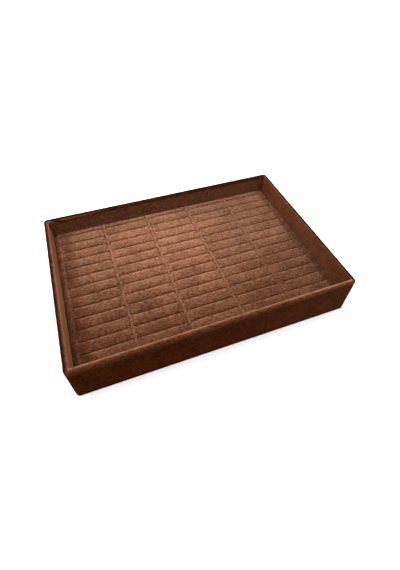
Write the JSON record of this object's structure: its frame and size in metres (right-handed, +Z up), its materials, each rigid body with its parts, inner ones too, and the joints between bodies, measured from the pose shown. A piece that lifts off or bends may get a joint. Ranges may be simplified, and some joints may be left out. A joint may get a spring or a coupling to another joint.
{
  "type": "jewelry tray",
  "caption": "Open rectangular velvet-covered display tray with a lift-out foam pad that has rows of slots in columns for bangles and rings.",
  "frame": {"origin": "middle of the underside, on the surface that the tray rests on", "axes": "+X along the long side, to the right when seen from the front; +Y towards the back; +Z up"},
  "size_m": [0.35, 0.244, 0.0555],
  "materials": {
    "fibreboard": "raw fibreboard",
    "brad_steel": "bright steel",
    "tray_velvet": "dark brown short-pile velvet",
    "lining_cloth": "brown lining cloth",
    "underside_sheet": "dark matt sheet",
    "greyboard": "greyboard",
    "foam": "open-cell foam",
    "insert_velvet": "brown short-pile velvet",
    "backing_paper": "dark backing paper"
  },
  "bodies": {
    "tray": {"base_board": "fibreboard", "front_board": "fibreboard", "back_board": "fibreboard", "left_board": "fibreboard", "right_board": "fibreboard", "corner_brads": "brad_steel", "wall_wrap": "tray_velvet", "floor_lining": "lining_cloth", "underside_cover": "underside_sheet"},
    "insert": {"insert_board": "greyboard", "foam_block": "foam", "velvet_cover": "insert_velvet", "insert_backing": "backing_paper"}
  },
  "joints": [
    {"name": "insert_lift", "type": "slide", "parent": "tray", "child": "insert", "axis": [0, 0, 1], "range_m": [0, 0.06]}
  ]
}
